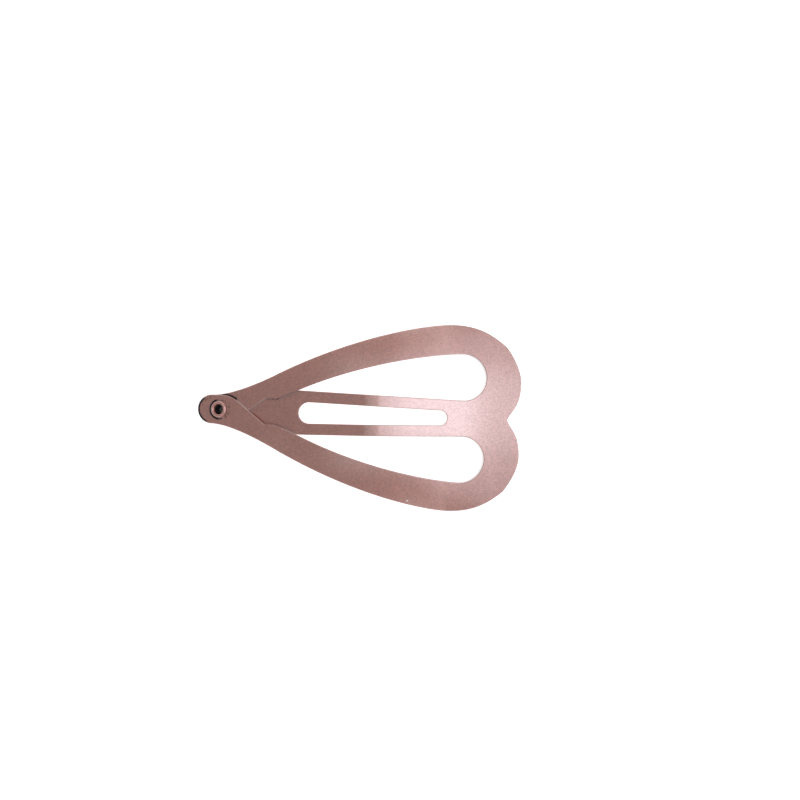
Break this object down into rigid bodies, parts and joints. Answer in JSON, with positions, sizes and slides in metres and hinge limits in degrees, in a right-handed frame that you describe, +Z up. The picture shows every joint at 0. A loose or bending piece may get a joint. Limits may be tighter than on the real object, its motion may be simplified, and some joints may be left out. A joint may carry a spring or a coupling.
{
  "type": "snap hair clip",
  "caption": "Heart-shaped snap hair clip of sprung sheet metal: two arms joined at an eyelet snap over a slotted tongue.",
  "frame": {"origin": "on the surface the clip lies on, under the middle of its box", "axes": "+X from the eyelet towards the heart's lobes, +Z up through the face that shows when worn, +Y to the left arm"},
  "size_m": [0.0606, 0.035, 0.0094],
  "materials": {
    "lacquered_sheet": "satin rose-gold metallic lacquer on spring steel",
    "lacquered_eyelet": "satin rose-gold metallic lacquer on a rolled brass rivet"
  },
  "bodies": {
    "crown": {"crown": "lacquered_sheet"},
    "arms_root": {"left_arm_root": "lacquered_sheet", "right_arm_root": "lacquered_sheet"},
    "arms_middle": {"left_arm_middle": "lacquered_sheet", "right_arm_middle": "lacquered_sheet"},
    "arms_tip": {"left_arm_tip": "lacquered_sheet", "right_arm_tip": "lacquered_sheet", "eyelet": "lacquered_eyelet"},
    "tongue": {"tongue": "lacquered_sheet"}
  },
  "joints": [
    {"name": "snap", "type": "hinge", "parent": "crown", "child": "arms_root", "pos_m": [0.01699, 0, 0.00356], "axis": [0, 1, 0], "range_deg": [0, 8]},
    {"name": "arm_middle_flex", "type": "hinge", "parent": "arms_root", "child": "arms_middle", "pos_m": [0.00459, 0, 0.00729], "axis": [0, 1, 0], "range_deg": [0, 12]},
    {"name": "arm_tip_flex", "type": "hinge", "parent": "arms_middle", "child": "arms_tip", "pos_m": [-0.00673, 0, 0.0072], "axis": [0, 1, 0], "range_deg": [0, 12]},
    {"name": "tongue_flex", "type": "hinge", "parent": "crown", "child": "tongue", "pos_m": [0.0186, 0, 0.00455], "axis": [0, 1, 0], "range_deg": [0, 2.4]}
  ],
  "couplings": [
    {"joint": "arm_middle_flex", "follows": "snap", "ratio": 1.5},
    {"joint": "arm_tip_flex", "follows": "snap", "ratio": 1.5},
    {"joint": "tongue_flex", "follows": "snap", "ratio": 0.3}
  ]
}
